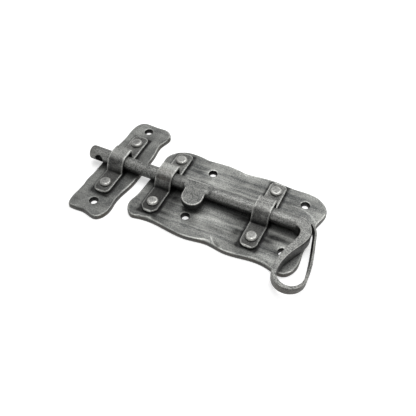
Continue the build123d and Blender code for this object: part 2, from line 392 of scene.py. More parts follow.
# Height of the hammered front over the back: thickness less rolling waves, streaks, dents and edge hollows
class PlateFront:
    def __init__(self, thickness, low, high, feet, hollows, seed):
        draw = np.random.default_rng(seed)
        shape = plateShape
        self.back, self.thickness, self.feet, self.hollows, self.seed = 0.0, thickness, feet, hollows, seed
        self.places = draw.uniform(low[:2], high[:2], (shape["dents"], 2))
        self.radii = draw.uniform(*shape["dentRadius"], shape["dents"])
        self.depths = draw.uniform(*shape["dentDepth"], shape["dents"])

    def footDistance(self, flat):
        gap = np.full(len(flat), 1e3)
        for low, high in self.feet:
            outside = np.maximum(np.maximum(low[:2] - flat, flat - high[:2]), 0)
            gap = np.minimum(gap, np.linalg.norm(outside, axis=1))
        return gap

    def depth(self, flat):
        shape = plateShape
        space = np.column_stack([flat, np.zeros(len(flat))])
        lower = shape["rollDepth"] * (0.5 + 0.5 * cloud(space, shape["rollCell"], self.seed))
        lower += shape["streakDepth"] * (0.5 + 0.5 * cloud(space, shape["streakCell"], self.seed + 1))
        for place, radius, deep in zip(self.places, self.radii, self.depths):
            near = np.clip(1 - np.sum((flat - place) ** 2, axis=1) / radius ** 2, 0, 1)
            lower = np.maximum(lower, lower * 0.5 + deep * near ** 2)
        for x, y, radius, deep in self.hollows:
            near = np.clip(1 - np.sum((flat - (x, y)) ** 2, axis=1) / radius ** 2, 0, 1)
            lower = np.maximum(lower, deep * near)
        return lower * softStep(0.0, 2.5, self.footDistance(flat) - 0.4)

    def __call__(self, flat):
        return self.thickness - self.depth(flat)


# Finish of a plate: rims worn bright and lit by a painted highlight, dark hollows, soot and painted shadow
# round the feet, broad patches of painted light and shade, arcs, and walls darkened with painted shade
def plateFinish(points, rings, front, toTop, screws, marks):
    shape, seed = plateShape, front.seed
    flat, x, y = points[:, :2], points[:, 0], points[:, 1]
    space = np.column_stack([flat, 0 * x])
    onTop = (rings == 0) & (points[:, 2] > front.thickness / 2)
    # rims are worn bright with a painted highlight, broken up along the edge, the painted highlight strongest
    # on the far lip of each screw hole
    rub = 0.35 + 0.65 * softStep(-0.45, 0.5, cloud(space, 6.0, seed + 4))
    nearRim = np.exp(-(np.clip(toTop, 0, None) / shape["rimReach"]) ** 2)
    rimWearAndHighlight = (nearRim * onTop + (rings == 1) + 0.4 * (rings == 2)) * rub
    for place in screws:
        arm = flat - place
        gap = np.hypot(*arm.T)
        farSideHighlight = 0.1 + 0.7 * softStep(-0.2, 0.9, (arm @ np.array([-0.3, 0.95])) / np.maximum(gap, 1e-6))
        fromLip = gap - shape["screwRadius"] - shape["rimWidth"]
        lip = np.exp(-(fromLip / 0.7) ** 2) * ((rings == 0) | (rings == 11))
        rimWearAndHighlight = np.maximum(rimWearAndHighlight, lip * onTop * farSideHighlight)
    hollow, gap = front.depth(flat), front.footDistance(flat)
    # patina darkens the hammer hollows; soot with a painted contact shadow rings the strap feet
    sootAndShade = 0.5 * softStep(0.12, 0.5, hollow) + 1.0 * np.exp(-(gap / 1.5) ** 2)
    wearAndHighlight = marks["rim"] * rimWearAndHighlight + 0.14 * softStep(0.12, 0.02, hollow) * (gap > 2) * onTop
    # patches of painted light and painted shade are ragged along the streaks
    ragged = 0.85 + 0.4 * cloud(space, (14, 2.6, 3), seed + 6)
    for atX, atY, halfX, halfY, amount in marks["paintedLightShadeAndTone"]:
        spot = np.exp(-((x - atX) / halfX) ** 2 - ((y - atY) / halfY) ** 2) * ragged
        wearAndHighlight, sootAndShade = wearAndHighlight + max(amount, 0) * spot * onTop, sootAndShade + max(-amount, 0) * spot
    for atX, atY, size, start, end, amount in marks["arcs"]:
        turn = np.degrees(np.arctan2(y - atY, x - atX)) % 360
        offLine = np.hypot(x - atX, y - atY) - size
        line = np.exp(-(offLine / 0.55) ** 2) * softStep(start - 8, start + 8, turn)
        wearAndHighlight = wearAndHighlight + amount * line * softStep(end + 8, end - 8, turn) * onTop
    # painted shade on the edge walls, which are also browned, and black painted shade inside the screw holes
    wall = np.interp(rings, [0, 2, 4, 6, 7], [0, 0.1, 1, 0.6, 0])
    inHole = (rings > 10) & (points[:, 2] < front.thickness - 0.2)
    sootAndShade = np.maximum(sootAndShade * onTop, 0.72 * wall + 1.0 * inHole)
    calm = marks["calm"] + (1 - marks["calm"]) * 0.7 * softStep(9, 2, toTop)
    return {"wearAndHighlight": wearAndHighlight, "sootAndShade": sootAndShade, "rust": 0.7 * wall, "calm": calm, "pit": 0 * wearAndHighlight}


# Plate: a slab in the frame's own outline, its front edge cut back where the hammer fell
def hammeredPlate(node, strapNodes, screws, marks, seed):
    shape = plateShape
    low, high = boxOf(node)
    rivets, feet = [], []
    for strap in strapNodes:
        rivetLow, rivetHigh = boxOf(strap + "_rivets")
        head = (rivetHigh - rivetLow)[0] / 2
        x = (rivetLow + rivetHigh)[0] / 2
        rivets += [(x, rivetLow[1] + head), (x, rivetHigh[1] - head)]
        feet.append(boxOf(strap))
    rim, radius = shape["rimWidth"], shape["screwRadius"]
    screw = {"cells": shape["screwCells"], "top": radius + rim, "bottom": shape["backRadius"],
             "wall": [(radius + rim * 0.4, -rim * 0.3), (radius, -rim), (shape["backRadius"] + 0.06, 0.6)]}
    rivet = {"cells": shape["rivetCells"], "top": shape["rivetRadius"], "bottom": shape["tailRadius"],
             "wall": [(shape["rivetRadius"], -0.3), (shape["rivetRadius"], shape["tailDepth"])]}
    holes = [{**screw, "at": place} for place in screws] + [{**rivet, "at": place} for place in rivets]
    outline, middle = outlineOf(node, screws + rivets)
    front = PlateFront(high[2], low, high, feet, marks["hollows"], seed)

    def cutBack(flat):
        total = np.zeros(len(flat))
        for x, y, width, deep in marks["edge"]:
            total += deep * np.exp(-np.sum((flat - (x, y)) ** 2, axis=1) / width ** 2)
        return total + 0.14 * (1 + cloud(np.column_stack([flat, 0 * flat[:, 0]]), 4.0, seed + 2))

    def inset(flat):
        return shape["bevel"] + cutBack(flat)

    points, faces, rings = slab(outline, middle, (high - low)[:2], shape["cell"], holes, front, inset,
                                lambda flat: shape["drop"] + 0.55 * cutBack(flat))
    way = points[:, :2] - middle
    topReach = np.interp(np.arctan2(way[:, 1], way[:, 0]), *insetOutline(outline, middle, inset), period=tau)
    finish = plateFinish(points, rings, front, topReach - np.hypot(*way.T), screws, marks)
    piece = putMesh(node + "_hammered", points, faces, finish, 50)
    return dress(piece, plateSteel, "plates", "plate_steel", node)


mounts = {mount["name"]: mount for mount in frame["record"]["mounts"]}


# Hole places of a screw pattern, from its middle and spacings
def screwPlaces(name):
    mount = mounts[name]
    x, y = np.array(mount["pos_m"][:2]) / mm
    halfX, halfY = mount["dims"].get("spacing_x_mm", 0) / 2, mount["dims"].get("spacing_y_mm", 0) / 2
    return sorted({(x + sx * halfX, y + sy * halfY) for sx in (-1, 1) for sy in (-1, 1)})


# Marks of the hammer and of use, and patches of painted light and shade. "edge": x, y, width and depth of
# each cut-back of the front edge; "hollows": x, y, radius and depth; patches: x, y, half sizes and amount,
# painted light above 0 and painted shade below, with some tone of the plate; "arcs": centre, radius, angles
# and amount
backPlateMarks = {
    "edge": [(-57, -36, 6.0, 1.8), (-12, -36.5, 4.5, 1.6), (24, -36, 6.0, 1.5), (-12.5, 33, 2.0, 1.2),
             (-74, -8, 9, 0.4)],
    "hollows": [(-57, -38, 8.5, 0.8), (-9, -39, 7.5, 0.8), (25, -38, 9.0, 0.7), (-12.5, 34, 2.6, 0.6)],
    "paintedLightShadeAndTone": [(-19, -10.6, 10, 3.2, 0.34), (-16, -17.3, 9, 3.2, 0.38), (1, -11.5, 9, 4.5, -1.25),
              (-12, -23.2, 10, 2, -0.4), (2, -21, 5, 5, -1.05), (2, -31, 8, 4, -0.15),
              (-14, -30, 6, 2.6, 0.48), (11, -32, 8, 7, -0.6), (32, -8, 8, 3, -0.45),
              (29, -13.2, 10, 2.6, -1.45), (23, -20, 6, 6, -0.95), (33, -23, 6, 3.2, -0.95),
              (-28, -26, 12, 6, 0.14), (27, -31, 6, 3, 0.3), (8, -5.6, 34, 2, -0.7),
              (-28, -18.5, 5, 3, 0.75), (-50, -9, 7, 9, -1), (-50, -26, 6, 12, -0.7),
              (-62, -33, 9, 5, -0.35), (-70, -26, 5, 9, -0.3), (-56, 12, 4, 9, -0.7),
              (-53, 23, 6, 6, -0.55), (4, 20, 13, 6, -0.5), (25, 18, 7, 8, -0.5), (36, 31.5, 8, 3, 0.3),
              (-12, 31, 12, 3, 0.28), (45, 15, 7, 7, 0.2), (-26, 18, 12, 9, 0.24)],
    "arcs": [(31, -0.8, 18.75, 38, 105, 0.35), (4.6, -19.2, 19.8, 214, 246, 0.6)],
    "calm": 0.0, "rim": 0.75,
}
keeperMarks = {
    "edge": [(-104, -48, 5.0, 1.3), (-84, -22, 9.0, 0.5), (-81, 33, 6.0, 0.5)],
    "hollows": [(-104, -50, 7.0, 0.6), (-82, -24, 6.0, 0.4)],
    "paintedLightShadeAndTone": [(-108, -22, 5, 30, 0.13), (-106, 32, 6, 16, 0.17), (-98, -45, 12, 5, 0.10),
              (-89, 36, 6, 9, 0.12), (-94, 13, 6, 8, -0.62), (-93, -19, 6, 9, -0.70),
              (-104, 42, 7, 8, 0.26), (-86, 44, 6, 6, 0.10), (-93, 36, 4, 5, -0.35),
              (-98, -29, 8, 7, -0.45)],
    "arcs": [],
    "calm": 0.65, "rim": 0.5,
}
backPlate = hammeredPlate("back_plate", ["tip_strap", "handle_strap"], screwPlaces("plate_screws"),
                          backPlateMarks, 11)
keeperPlate = hammeredPlate("keeper_plate", ["keeper_strap"], screwPlaces("keeper_screws"), keeperMarks, 23)
print("plates hammered:", len(backPlate.data.polygons), len(keeperPlate.data.polygons))


# Polyline with rounded corners: straight runs joined by arcs of the given radii, sampled at an even step
def roundedPath(corners, radii, step):
    points, last = [], np.array(corners[0], float)
    for before, corner, after, radius in zip(corners, corners[1:], corners[2:], radii):
        before, corner, after = (np.array(p, float) for p in (before, corner, after))
        inward, outward = corner - before, after - corner
        inward, outward = inward / np.linalg.norm(inward), outward / np.linalg.norm(outward)
        turn = math.atan2(inward[0] * outward[1] - inward[1] * outward[0], inward @ outward)
        back = radius * math.tan(abs(turn) / 2)
        start = corner - inward * back
        side = np.array([-inward[1], inward[0]]) * math.copysign(1, turn)
        centre = start + side * radius
        sweep = np.linspace(0, turn, max(4, int(abs(turn) * radius / step) + 4))
        arm = start - centre
        arc = centre + np.stack([arm[0] * np.cos(sweep) - arm[1] * np.sin(sweep),
                                 arm[0] * np.sin(sweep) + arm[1] * np.cos(sweep)], axis=1)
        run = np.linspace(last, start, max(2, int(np.linalg.norm(start - last) / step)), endpoint=False)
        points += [run, arc[:-1]]
        last = arc[-1]
    end = np.array(corners[-1], float)
    points.append(np.linspace(last, end, max(2, int(np.linalg.norm(end - last) / step))))
    return np.concatenate(points)


strapShape = {
    "thickness": 2.2, "edge": 0.42, "step": 0.55, "acrossSteps": 14,
    "axisGap": 5.3, "backRoom": 0.6, "slope": 70.0,
    "creaseRadius": 1.5, "backRadius": 1.3, "footRadius": 1.2, "wobble": 0.10, "dentDepth": 0.10,
    # the first two tables: how far the top is rubbed and lit by a painted highlight, and how dark the front
    # foot is with soot and painted shade
    "topWearAndHighlight": {"tip_strap": 0.35, "handle_strap": 0.12, "keeper_strap": 0.26},
    "footSootAndShade": {"tip_strap": 0.78, "handle_strap": 0.62, "keeper_strap": 0.40},
    "topRust": {"tip_strap": 0.45, "handle_strap": 0.0, "keeper_strap": 0.0},
    "feet": {  # corner size and roundness of the front and back foot: 1 is a straight clip, 2 a round corner
        "tip_strap": ((4.2, 1.25), (3.6, 1.6)), "handle_strap": ((4.6, 2.0), (4.2, 2.0)),
        "keeper_strap": ((4.2, 1.7), (3.8, 1.8))},
}


# Section of the strip, a rectangle with rounded corners: for each point its share of the straight half width
# and half thickness, and of the corner's radius both ways
def stripSection():
    steps = np.linspace(-1, 1, strapShape["acrossSteps"])
    arc = np.radians(np.linspace(80, 10, 4))
    cosArc, sinArc = np.cos(arc), np.sin(arc)
    run, four = np.ones_like(steps), np.ones(4)
    sideX = np.concatenate([steps, four, four, -steps, -four, -four])
    sideT = np.concatenate([run, four, -four, -run, -four, four])
    turnX = np.concatenate([0 * run, cosArc, cosArc[::-1], 0 * run, -cosArc, -cosArc[::-1]])
    turnT = np.concatenate([run, sinArc, -sinArc[::-1], -run, -sinArc, sinArc[::-1]])
    return sideX, sideT, turnX, turnT


# Finish of a strap: rims worn bright and lit by a painted highlight, a top rubbed and lit by a painted
# highlight, painted shade at the foot of the leg, soot and painted shade on the front foot, and black painted
# shade underneath
def strapFinish(node, points, outside, rim, bends, seed):
    shape = strapShape
    rise, creaseY, touchY = bends
    y, height = points[:, 1], points[:, 2]
    rub = 0.6 + 0.4 * softStep(-0.5, 0.4, cloud(points, 5.0, seed + 6))
    leg = (y > creaseY - 1.5) & (y < touchY + 1.0)
    lowLegShade = leg * softStep(rise + 9.5, rise + 3.0, height)
    frontFootShade = softStep(creaseY + 0.5, creaseY - 1.0, y)
    top = softStep(rise + 10.5, rise + 12.0, height)
    # painted shade low on the leg and on the front foot (with soot there), black painted shade on the
    # underside, lifted at the rims
    dark = 0.45 * lowLegShade + shape["footSootAndShade"][node] * frontFootShade
    sootAndShade = np.maximum(dark * outside, 0.8 * (1.0 - outside)) * (1 - 0.8 * rim * outside)
    wearAndHighlight = (0.95 * rim * rub + shape["topWearAndHighlight"][node] * top) * outside
    rust = shape["topRust"][node] * ((y > touchY - 0.5) & (y < 1.5) & (height > rise + 7))
    return {"wearAndHighlight": wearAndHighlight, "sootAndShade": sootAndShade, "rust": rust, "calm": 0 * wearAndHighlight, "pit": 0 * wearAndHighlight}


# Strap: a rounded rectangle carried along the bent path, narrowing to a clipped or rounded foot at each end
def bentStrap(node, seed):
    shape = strapShape
    low, high = boxOf(node)
    half, rise, gap = shape["thickness"] / 2, low[2], shape["axisGap"]
    slope = math.radians(shape["slope"])
    outer = gap + half                                        # middle of the strip round the rod
    topZ, backY = gap + outer, gap + shape["backRoom"] + half
    touch = (-outer * math.sin(slope), gap + outer * math.cos(slope))
    creaseY = touch[0] - (touch[1] - half) / math.tan(slope)
    shoulderY = touch[0] + (topZ - touch[1]) / math.tan(slope)
    corners = [(low[1], half), (creaseY, half), (shoulderY, topZ),
               (backY, topZ), (backY, half), (high[1], half)]
    radii = [shape["creaseRadius"], outer, shape["backRadius"], shape["footRadius"]]
    path = roundedPath(corners, radii, shape["step"])
    front, back = shape["feet"][node]
    ends = np.radians(np.linspace(3, 90, 12))                 # finer stations where a foot rounds off
    travel = np.concatenate([[0], np.cumsum(np.linalg.norm(np.diff(path, axis=0), axis=1))])
    length = travel[-1]
    inner = travel[(travel > front[0]) & (travel < length - back[0])]
    stations = np.concatenate([front[0] * (1 - np.cos(ends)), inner,
                               length - back[0] * (1 - np.cos(ends[::-1]))])
    centre = np.stack([np.interp(stations, travel, path[:, k]) for k in (0, 1)], axis=1)
    ahead = np.stack([np.interp(stations + 0.3, travel, path[:, k]) for k in (0, 1)], axis=1)
    behind = np.stack([np.interp(stations - 0.3, travel, path[:, k]) for k in (0, 1)], axis=1)
    along = (ahead - behind) / np.linalg.norm(ahead - behind, axis=1)[:, None]
    normal = np.stack([-along[:, 1], along[:, 0]], axis=1)

    def cornerCut(distance, corner, power):                   # how much the half width loses near an end
        t = np.clip(1 - distance / corner, 0, 1)
        return corner * (1 - (1 - t ** power) ** (1 / power))

    fullHalf = (high - low)[0] / 2 - 0.05
    halfWidth = fullHalf - cornerCut(stations, *front) - cornerCut(length - stations, *back)
    space = np.column_stack([np.full(len(stations), seed * 7.0), stations, np.zeros(len(stations))])
    halfWidth -= shape["wobble"] * (0.5 + 0.5 * cloud(space, 5.0, seed))
    edge = shape["edge"]
    sideX, sideT, turnX, turnT = stripSection()
    across = sideX * (halfWidth[:, None] - edge) + turnX * edge
    thin = np.minimum(1, 0.45 + np.minimum(stations, length - stations) / 0.8)[:, None]
    through = (sideT * (half - edge) + turnT * edge) * thin
    mid = (low + high)[0] / 2
    points = np.stack([mid + across,
                       centre[:, :1] + normal[:, :1] * through,
                       rise + centre[:, 1:] + normal[:, 1:] * through], axis=-1)
    ring = points.shape[1]
    lumps = shape["dentDepth"] * (cloud(points.reshape(-1, 3), 4.5, seed + 3) - 1) * 0.5
    outside = np.broadcast_to(sideT > 0, points.shape[:2]).ravel()
    away = np.stack([0 * through, normal[:, :1] + 0 * through, normal[:, 1:] + 0 * through], axis=-1)
    flatPoints = points.reshape(-1, 3) + away.reshape(-1, 3) * (lumps * outside)[:, None]
    index = np.arange(len(flatPoints)).reshape(points.shape[:2])
    closed = np.concatenate([index, index[:, :1]], axis=1)
    n = shape["acrossSteps"]
    upper = np.concatenate([np.arange(ring - 4, ring), np.arange(0, n + 4)])
    lower = np.arange(2 * n + 12 - 1, n + 3, -1)[: len(upper)]
    faces = [gridQuads(closed)]
    for row in (index[0], index[-1]):
        cap = np.stack([row[upper[:-1]], row[upper[1:]], row[lower[1:]], row[lower[:-1]]], axis=1)
        faces.append(cap if row is index[0] else cap[:, ::-1])
    rim = np.clip(1 - (halfWidth[:, None] - np.abs(across)) / 0.75, 0, 1).ravel()
    endGap = np.minimum(stations, length - stations)
    rim = np.maximum(rim, np.repeat(np.clip(1.5 - endGap / 0.9, 0, 1), ring))
    finish = strapFinish(node, flatPoints, outside, rim, (rise, creaseY, touch[0]), seed)
    piece = putMesh(node + "_forged", flatPoints, faces, finish, 45)
    return dress(piece, strapSteel, "plates", "strap_steel", node)


for number, strapNode in enumerate(("tip_strap", "handle_strap", "keeper_strap")):
    strapPiece = bentStrap(strapNode, 31 + number)
print("straps bent:", len(strapPiece.data.polygons), "faces each")


rivetShape = {
    "turns": 48, "headTop": 0.70, "headHeight": 2.2, "headFoot": 0.96, "shank": 2.3,
    "tail": 3.2, "tailDepth": 1.2, "wobble": 0.12, "dent": 0.12,
    # the edge share also paints a highlight on the head's rim and rounded side, the top share lightens the
    # flat top
    "rubbedAndHighlight": {  # how far the edge and the flat top of the head are rubbed
        "tip_strap_rivets": (0.8, 0.16), "handle_strap_rivets": (1.0, 0.04),
        "keeper_strap_rivets": (0.6, 0.06)},
}


# Rivet: a pan-head profile turned round its own axis, the head beaten a little out of round
def pannedRivets(node, seed):
    shape = rivetShape
    low, high = boxOf(node)
    head = (high - low)[0] / 2
    x, top = (low + high)[0] / 2, high[2]
    seat = top - shape["headHeight"]
    crown = head * shape["headTop"]
    profile = np.array([
        (0.0, top - 0.02), (crown * 0.3, top - 0.02), (crown * 0.6, top - 0.02), (crown * 0.85, top - 0.03),
        (crown, top - 0.08), (crown + 0.35, top - 0.24), (head - 0.42, top - 0.62), (head - 0.14, top - 1.0),
        (head - 0.03, top - 1.4), (head - 0.02, seat + 0.35), (head * shape["headFoot"], seat + 0.05),
        (head - 0.7, seat + 0.01), (shape["shank"], seat), (shape["shank"], shape["tailDepth"]),
        (shape["tail"], 0.04), (shape["tail"] - 0.2, 0.0), (1.5, 0.0), (0.0, 0.0)])
    edge, flat = shape["rubbedAndHighlight"][node]
    angle = np.linspace(0, tau, shape["turns"], endpoint=False)
    allPoints, allFaces, wearAndHighlight, sootAndShade = [], [], [], []
    for number, y in enumerate((low[1] + head, high[1] - head)):
        r, z = profile[1:-1, 0][:, None], profile[1:-1, 1][:, None]
        spot = np.stack([np.cos(angle), np.sin(angle), 0 * angle], axis=1)
        onHead = (r > shape["shank"] + 0.1) & (z > seat - 0.1)
        lump = shape["wobble"] * cloud(spot * 3, 2.0, seed + number) * onHead
        reach = r + np.minimum(lump, 0)
        px, py = x + reach * np.cos(angle), y + reach * np.sin(angle)
        pz = np.broadcast_to(z, px.shape).copy()
        ring = np.stack([px, py, pz], axis=-1)
        dent = shape["dent"] * (cloud(ring.reshape(-1, 3), 2.1, seed + 5) - 1).reshape(px.shape) * 0.5
        ring[..., 2] += dent * softStep(top - 0.7, top - 0.1, pz)
        body = ring.reshape(-1, 3)
        poles = np.array([(x, y, top - 0.04), (x, y, 0.0)])
        start = sum(len(p) for p in allPoints)
        index = start + np.arange(len(body)).reshape(px.shape)
        closed = np.concatenate([index, index[:, :1]], axis=1)
        topPole, endPole = start + len(body), start + len(body) + 1
        allFaces.append(gridQuads(closed))
        allFaces.append(np.stack([np.full(len(angle), topPole), index[0], np.roll(index[0], -1)], axis=1))
        allFaces.append(np.stack([np.full(len(angle), endPole), np.roll(index[-1], -1), index[-1]], axis=1))
        allPoints += [body, poles]
        distance = np.broadcast_to(r, px.shape).ravel()
        # a painted highlight ring round the flat top and on the head's rounded side, beside the rubbed flat
        # top
        edgeHighlight = np.exp(-((distance - crown - 0.3) / 0.55) ** 2) * (body[:, 2] > top - 1.1)
        wallHighlight = softStep(seat + 0.1, seat + 0.5, body[:, 2]) * softStep(top - 0.2, top - 0.7, body[:, 2])
        wearAndHighlight += [0.9 * edge * np.maximum(edgeHighlight, wallHighlight) + flat * (body[:, 2] > top - 0.6), np.zeros(2)]
        # painted shade at the foot of the head
        sootAndShade += [0.9 * softStep(seat + 0.2, seat, body[:, 2]), np.zeros(2)]
    wearAndHighlight, sootAndShade = np.concatenate(wearAndHighlight), np.concatenate(sootAndShade)
    piece = putMesh(node + "_peened", np.concatenate(allPoints), allFaces, {
        "wearAndHighlight": wearAndHighlight, "sootAndShade": sootAndShade, "rust": 0 * wearAndHighlight, "calm": 0 * wearAndHighlight, "pit": 0 * wearAndHighlight}, 50)
    return dress(piece, rivetSteel, "plates", "rivet_steel", node)


for number, strapNode in enumerate(("tip_strap", "handle_strap", "keeper_strap")):
    pannedRivets(strapNode + "_rivets", 51 + 3 * number)
print("rivets peened")


boltShape = {
    "radius": 5.0, "tipRound": 1.3, "around": 72, "step": 0.75,
    "holeRadius": 3.0, "holeSteps": 8, "holeArc": 14,
    "lugX": -35.2, "lugHalf": 7.6, "lugReach": 19.2, "lugBack": 3.0, "lugFlare": 1.4, "leftFlare": 2.6,
    "lugLean": 0.9, "lugThick": 4.4, "lugEdge": 0.5, "lugCell": 0.5, "lugMiddle": -6.0, "lugPull": 0.3,
    "flatDrop": 0.7, "flatFade": 24.0, "weldRounds": 14,
    "bend": 10.0, "legX": 45.0, "legPulls": (0.25, 0.5), "loopX": 46.7, "loopRadius": 9.9, "loopReach": 41.5,
    "meet": 12.0, "wrap": 50.0, "wrapRadius": 16.05, "strandLean": 17.0, "endThick": 1.6, "endHigh": 4.4,
    "drawnStart": 9.9, "thickTaper": 2.8, "highTaper": 3.2,
    "squareness": 9.0, "squareShare": 0.12, "lumps": 0.10,
}
# the fades beside the strap, on the leg wall and below the lug wall place painted shade, and the crest a
# painted highlight
boltMarks = {  # where the finish changes: ends of each fade along x or y, places of walls and spots
    "bay": ((-97, -91), (-62, -68)),                       # the rod between keeper and tip strap
    "besideStrap": ((-56, -52), (-43, -46.5)),
    "rubbedTip": (-106, -112), "rustyTip": (-115, -119),
    "farLoop": (-26, -34), "loopFront": (-44, -48), "returnStrand": (49, -8),
    "legWall": (36, -24, -6), "legWallFade": (-24, -18),
    "lugWall": 3.75, "lugSpot": (-36.2, 1.6, 0.6),
    "crest": (2.5, 0.6), "crestReach": (17, 11),           # back edge of the flat beside the lug
}


# Cubic curve between two ends with two handles, and the circle arc used by the bend and the loop
def cubic(a, b, c, d, t):
    a, b, c, d = (np.array(p, float) for p in (a, b, c, d))
    t = t[:, None]
    return a * (1 - t) ** 3 + 3 * b * t * (1 - t) ** 2 + 3 * c * t ** 2 * (1 - t) + d * t ** 3


def arcOf(centre, radius, start, turn, count):
    angle = np.radians(np.linspace(start, start + turn, count))
    return np.array(centre) + radius * np.stack([np.cos(angle), np.sin(angle)], axis=1)


# Middle line of the bolt seen from the front: rod, bend, leg, loop, return leg and the end wrapped round
# the bend
def boltLine(tipX):
    s = boltShape
    bend, reach, legX = s["bend"], s["loopReach"], s["legX"]
    bendX, span = legX - bend, reach - bend
    left, right = (s["loopX"] - s["loopRadius"], -reach), (s["loopX"] + s["loopRadius"], -reach)
    lean = math.radians(s["meet"])
    met = np.array([bendX + s["wrapRadius"] * math.cos(lean), s["wrapRadius"] * math.sin(lean) - bend])
    third = (reach + met[1]) / 3
    beforeMet = met + third * np.array([math.sin(lean), -math.cos(lean)])
    pulls = [pull * span for pull in s["legPulls"]]
    rodX = np.arange(tipX + s["tipRound"], bendX, s["step"])
    runs = [
        np.stack([rodX, 0 * rodX], axis=1),
        arcOf((bendX, -bend), bend, 90, -90, 32),
        cubic((legX, -bend), (legX, -bend - pulls[0]), (left[0], pulls[1] - reach), left,
              np.linspace(0, 1, 52))[1:],
        arcOf((s["loopX"], -reach), s["loopRadius"], 180, 180, 60)[1:],
        cubic(right, (right[0], third - reach), beforeMet, met, np.linspace(0, 1, 52))[1:],
        arcOf((bendX, -bend), s["wrapRadius"], s["meet"], s["wrap"] - s["meet"], 22)[1:]]
    return np.concatenate(runs), len(rodX)


# Section at each station, a superellipse: round on the rod, drawn out thin and flat-sided round the loop
def drawnSections(travel, rodCount):
    s = boltShape
    share = np.clip((travel - travel[rodCount]) / (travel[-1] - travel[rodCount]), 0, 1)
    thick = s["endThick"] + (s["drawnStart"] - s["endThick"]) * (1 - share) ** s["thickTaper"]
    tall = s["endHigh"] + (s["drawnStart"] - s["endHigh"]) * (1 - share ** 2) ** s["highTaper"]
    blend = softStep(-6.0, 3.0, travel - travel[rodCount])
    fuller = (2 * s["radius"] - s["drawnStart"]) * (1 - blend)
    thick, tall = thick + fuller, tall + fuller
    power = 2 / (2 + (s["squareness"] - 2) * np.clip(share / s["squareShare"], 0, 1))
    angle = np.linspace(0, tau, s["around"], endpoint=False)
    ca, sa = np.cos(angle), np.sin(angle)
    across = np.sign(ca) * np.abs(ca) ** power[:, None] * thick[:, None] / 2
    up = np.sign(sa) * np.abs(sa) ** power[:, None] * tall[:, None] / 2
    return share, across, up


# Cross hole: a block of cells of the rod's sheet (x and height), in front and behind, is opened to a circle
def openCrossHole(x, across, up, onRod, hole, first):
    s = boltShape
    halfSteps, halfArc = s["holeSteps"] / 2, s["holeArc"] / 2
    station = (np.arange(len(x))[:, None] - first - halfSteps) / halfSteps
    step = np.arange(s["around"])
    inFront = np.where(step > s["around"] / 2, step - s["around"], step)
    behind = step - s["around"] / 2
    y = across.copy()
    for swing, sign in ((inFront, 1), (behind, -1)):
        eta = swing[None, :] / halfArc * np.ones_like(station)
        xi = station * np.ones_like(eta)
        square = np.maximum(np.abs(xi), np.abs(eta))
        reach = np.maximum(np.hypot(xi, eta), 1e-9)
        pull = (1 - softStep(1.0, 1.9, square)) * onRod[:, None]
        goalX = hole[0] + s["holeRadius"] * square * xi / reach
        goalZ = s["holeRadius"] * square * eta / reach * sign
        x = x * (1 - pull) + goalX * pull
        up = up * (1 - pull) + goalZ * pull
        lying = sign * np.sqrt(np.clip(s["radius"] ** 2 - up ** 2, 0, None))
        hold = np.minimum(1, pull * 50)
        y = np.where(pull > 0, y * (1 - hold) + lying * hold, y)
    return x, y, up


# Faces of the rod and handle, open at the cross hole, and the rings of the tunnel between its two mouths
def rodFaces(body, index, first):
    s = boltShape
    rows = np.arange(first, first + s["holeSteps"] + 1)
    span, mid = s["holeArc"] // 2, s["around"] // 2
    closed = np.concatenate([index, index[:, :1]], axis=1)
    quads = gridQuads(closed).reshape(len(index) - 1, s["around"], 4)
    keep = np.ones(quads.shape[:2], bool)
    for columns in (slice(0, span), slice(-span, None), slice(mid - span, mid + span)):
        keep[rows[0]:rows[-1], columns] = False
    faces = [quads[keep]]

    def mouth(columns):
        block = index[np.ix_(rows, columns)]
        return np.concatenate([block[:-1, 0], block[-1, :-1], block[:0:-1, -1], block[0, :0:-1]])

    front = mouth(np.arange(-span, span + 1) % s["around"])
    back = mouth(np.arange(mid + span, mid - span - 1, -1))
    tunnel, previous, total = [], front, len(body)
    for part in np.linspace(0, 1, 9)[1:-1]:
        tunnel.append(body[front] * (1 - part) + body[back] * part)
        current = np.arange(total, total + len(front))
        faces.append(ringQuads(previous, current))
        total += len(front)
        previous = current
    faces.append(ringQuads(previous, back))
    return faces, tunnel, total


